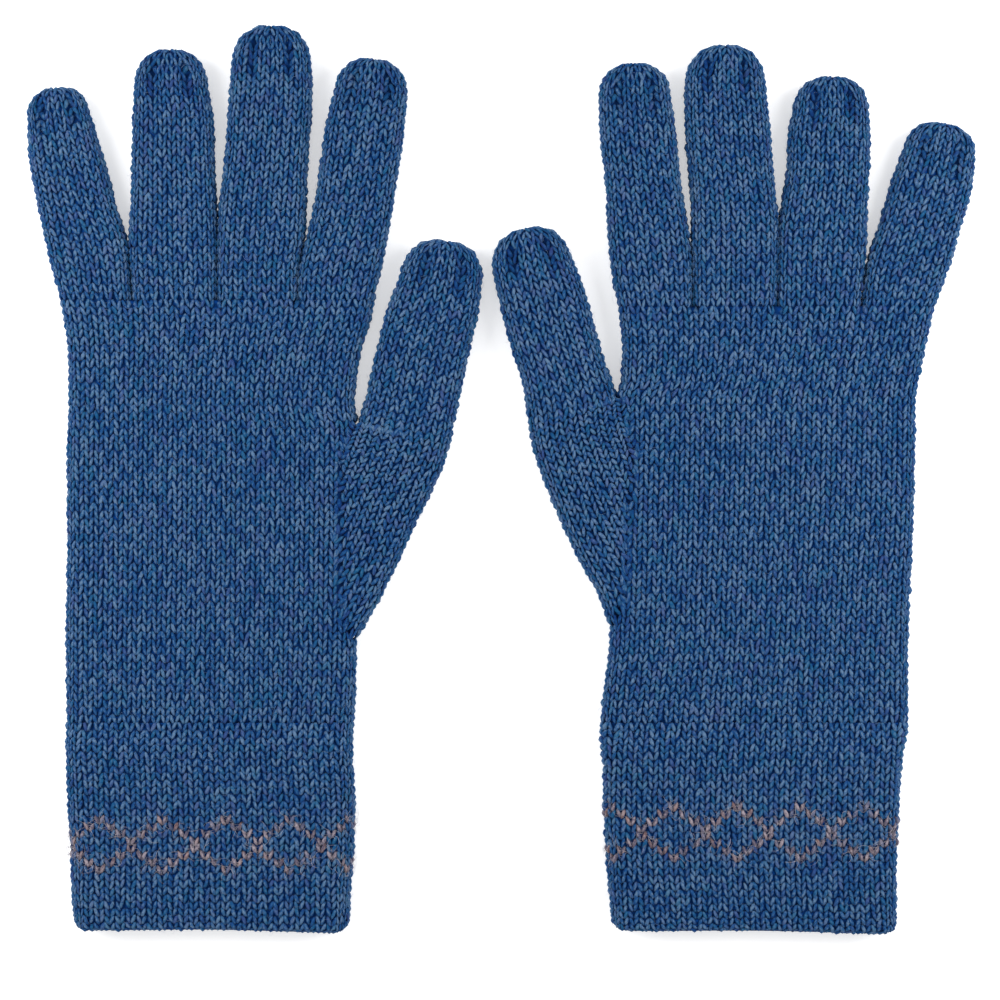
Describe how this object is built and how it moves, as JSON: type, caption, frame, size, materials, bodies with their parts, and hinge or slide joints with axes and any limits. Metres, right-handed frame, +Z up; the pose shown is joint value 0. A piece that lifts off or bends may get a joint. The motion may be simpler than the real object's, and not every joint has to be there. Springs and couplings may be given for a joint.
{
  "type": "knitted gloves",
  "caption": "Pair of plain knitted wool gloves lying flat, with side thumb gussets, turned hem cuffs and a contrast diamond band, bending at wrist, fingers and thumb.",
  "frame": {"origin": "centre of the pair's bounding box in X and Y, on the surface the gloves lie on", "axes": "+Z up from the table, +Y from the cuffs towards the fingertips, +X from the left-lying glove to the right-lying one; each glove folds up towards +Z"},
  "size_m": [0.2658, 0.2556, 0.0104],
  "materials": {
    "blue_knit": "heathered blue wool stockinette",
    "blue_knit_inside": "the same wool, finer, on the turned-in side of the hem",
    "contrast_yarn": "fuzzy taupe yarn knitted into the band",
    "tacking_yarn": "yarn ends and tacking stitches in the main blue"
  },
  "bodies": {
    "left_palm": {"left_hand": "blue_knit", "left_thumb_gusset": "blue_knit", "left_join_little_ring": "tacking_yarn", "left_join_ring_middle": "tacking_yarn", "left_join_middle_index": "tacking_yarn"},
    "left_cuff": {"left_cuff_outer": "blue_knit", "left_cuff_hem": "blue_knit_inside", "left_hem_stitching": "tacking_yarn", "left_cuff_motif": "contrast_yarn"},
    "left_little_near": {"left_little_base": "blue_knit"},
    "left_little_far": {"left_little_tip": "blue_knit", "left_little_gather": "tacking_yarn"},
    "left_ring_near": {"left_ring_base": "blue_knit"},
    "left_ring_far": {"left_ring_tip": "blue_knit", "left_ring_gather": "tacking_yarn"},
    "left_middle_near": {"left_middle_base": "blue_knit"},
    "left_middle_far": {"left_middle_tip": "blue_knit", "left_middle_gather": "tacking_yarn"},
    "left_index_near": {"left_index_base": "blue_knit"},
    "left_index_far": {"left_index_tip": "blue_knit", "left_index_gather": "tacking_yarn"},
    "left_thumb_near": {"left_thumb_base": "blue_knit"},
    "left_thumb_far": {"left_thumb_tip": "blue_knit", "left_thumb_gather": "tacking_yarn"},
    "right_palm": {"right_hand": "blue_knit", "right_thumb_gusset": "blue_knit", "right_join_little_ring": "tacking_yarn", "right_join_ring_middle": "tacking_yarn", "right_join_middle_index": "tacking_yarn"},
    "right_cuff": {"right_cuff_outer": "blue_knit", "right_cuff_hem": "blue_knit_inside", "right_hem_stitching": "tacking_yarn", "right_cuff_motif": "contrast_yarn"},
    "right_little_near": {"right_little_base": "blue_knit"},
    "right_little_far": {"right_little_tip": "blue_knit", "right_little_gather": "tacking_yarn"},
    "right_ring_near": {"right_ring_base": "blue_knit"},
    "right_ring_far": {"right_ring_tip": "blue_knit", "right_ring_gather": "tacking_yarn"},
    "right_middle_near": {"right_middle_base": "blue_knit"},
    "right_middle_far": {"right_middle_tip": "blue_knit", "right_middle_gather": "tacking_yarn"},
    "right_index_near": {"right_index_base": "blue_knit"},
    "right_index_far": {"right_index_tip": "blue_knit", "right_index_gather": "tacking_yarn"},
    "right_thumb_near": {"right_thumb_base": "blue_knit"},
    "right_thumb_far": {"right_thumb_tip": "blue_knit", "right_thumb_gather": "tacking_yarn"}
  },
  "joints": [
    {"name": "left_wrist_fold", "type": "hinge", "parent": "left_palm", "child": "left_cuff", "pos_m": [-0.08, -0.0683, 0.0104], "axis": [-1, 0, 0], "range_deg": [0, 70]},
    {"name": "left_little_root_bend", "type": "hinge", "parent": "left_palm", "child": "left_little_near", "pos_m": [-0.08, 0.0504, 0.0086], "axis": [1, 0, 0], "range_deg": [0, 75]},
    {"name": "left_little_middle_bend", "type": "hinge", "parent": "left_little_near", "child": "left_little_far", "pos_m": [-0.08, 0.081, 0.0086], "axis": [1, 0, 0], "range_deg": [0, 85]},
    {"name": "left_ring_root_bend", "type": "hinge", "parent": "left_palm", "child": "left_ring_near", "pos_m": [-0.08, 0.0504, 0.0086], "axis": [1, 0, 0], "range_deg": [0, 75]},
    {"name": "left_ring_middle_bend", "type": "hinge", "parent": "left_ring_near", "child": "left_ring_far", "pos_m": [-0.08, 0.087, 0.0086], "axis": [1, 0, 0], "range_deg": [0, 85]},
    {"name": "left_middle_root_bend", "type": "hinge", "parent": "left_palm", "child": "left_middle_near", "pos_m": [-0.08, 0.0504, 0.0086], "axis": [1, 0, 0], "range_deg": [0, 75]},
    {"name": "left_middle_middle_bend", "type": "hinge", "parent": "left_middle_near", "child": "left_middle_far", "pos_m": [-0.08, 0.09, 0.0086], "axis": [1, 0, 0], "range_deg": [0, 85]},
    {"name": "left_index_root_bend", "type": "hinge", "parent": "left_palm", "child": "left_index_near", "pos_m": [-0.08, 0.0504, 0.0086], "axis": [1, 0, 0], "range_deg": [0, 75]},
    {"name": "left_index_middle_bend", "type": "hinge", "parent": "left_index_near", "child": "left_index_far", "pos_m": [-0.08, 0.0864, 0.0086], "axis": [1, 0, 0], "range_deg": [0, 85]},
    {"name": "left_thumb_root_bend", "type": "hinge", "parent": "left_palm", "child": "left_thumb_near", "pos_m": [-0.08, 0.0156, 0.0086], "axis": [1, 0, 0], "range_deg": [0, 90]},
    {"name": "left_thumb_middle_bend", "type": "hinge", "parent": "left_thumb_near", "child": "left_thumb_far", "pos_m": [-0.08, 0.0424, 0.0086], "axis": [1, 0, 0], "range_deg": [0, 80]},
    {"name": "right_wrist_fold", "type": "hinge", "parent": "right_palm", "child": "right_cuff", "pos_m": [0.08, -0.0683, 0.0104], "axis": [-1, 0, 0], "range_deg": [0, 70]},
    {"name": "right_little_root_bend", "type": "hinge", "parent": "right_palm", "child": "right_little_near", "pos_m": [0.08, 0.0486, 0.0086], "axis": [1, 0, 0], "range_deg": [0, 75]},
    {"name": "right_little_middle_bend", "type": "hinge", "parent": "right_little_near", "child": "right_little_far", "pos_m": [0.08, 0.076, 0.0086], "axis": [1, 0, 0], "range_deg": [0, 85]},
    {"name": "right_ring_root_bend", "type": "hinge", "parent": "right_palm", "child": "right_ring_near", "pos_m": [0.08, 0.0486, 0.0086], "axis": [1, 0, 0], "range_deg": [0, 75]},
    {"name": "right_ring_middle_bend", "type": "hinge", "parent": "right_ring_near", "child": "right_ring_far", "pos_m": [0.08, 0.082, 0.0086], "axis": [1, 0, 0], "range_deg": [0, 85]},
    {"name": "right_middle_root_bend", "type": "hinge", "parent": "right_palm", "child": "right_middle_near", "pos_m": [0.08, 0.0486, 0.0086], "axis": [1, 0, 0], "range_deg": [0, 75]},
    {"name": "right_middle_middle_bend", "type": "hinge", "parent": "right_middle_near", "child": "right_middle_far", "pos_m": [0.08, 0.086, 0.0086], "axis": [1, 0, 0], "range_deg": [0, 85]},
    {"name": "right_index_root_bend", "type": "hinge", "parent": "right_palm", "child": "right_index_near", "pos_m": [0.08, 0.0486, 0.0086], "axis": [1, 0, 0], "range_deg": [0, 75]},
    {"name": "right_index_middle_bend", "type": "hinge", "parent": "right_index_near", "child": "right_index_far", "pos_m": [0.08, 0.0844, 0.0086], "axis": [1, 0, 0], "range_deg": [0, 85]},
    {"name": "right_thumb_root_bend", "type": "hinge", "parent": "right_palm", "child": "right_thumb_near", "pos_m": [0.08, 0.0228, 0.0086], "axis": [1, 0, 0], "range_deg": [0, 90]},
    {"name": "right_thumb_middle_bend", "type": "hinge", "parent": "right_thumb_near", "child": "right_thumb_far", "pos_m": [0.08, 0.0484, 0.0086], "axis": [1, 0, 0], "range_deg": [0, 80]},
    {"name": "right_glove_shift", "type": "slide", "parent": "left_palm", "child": "right_palm", "axis": [1, 0, 0], "range_m": [0, 0.05]}
  ]
}
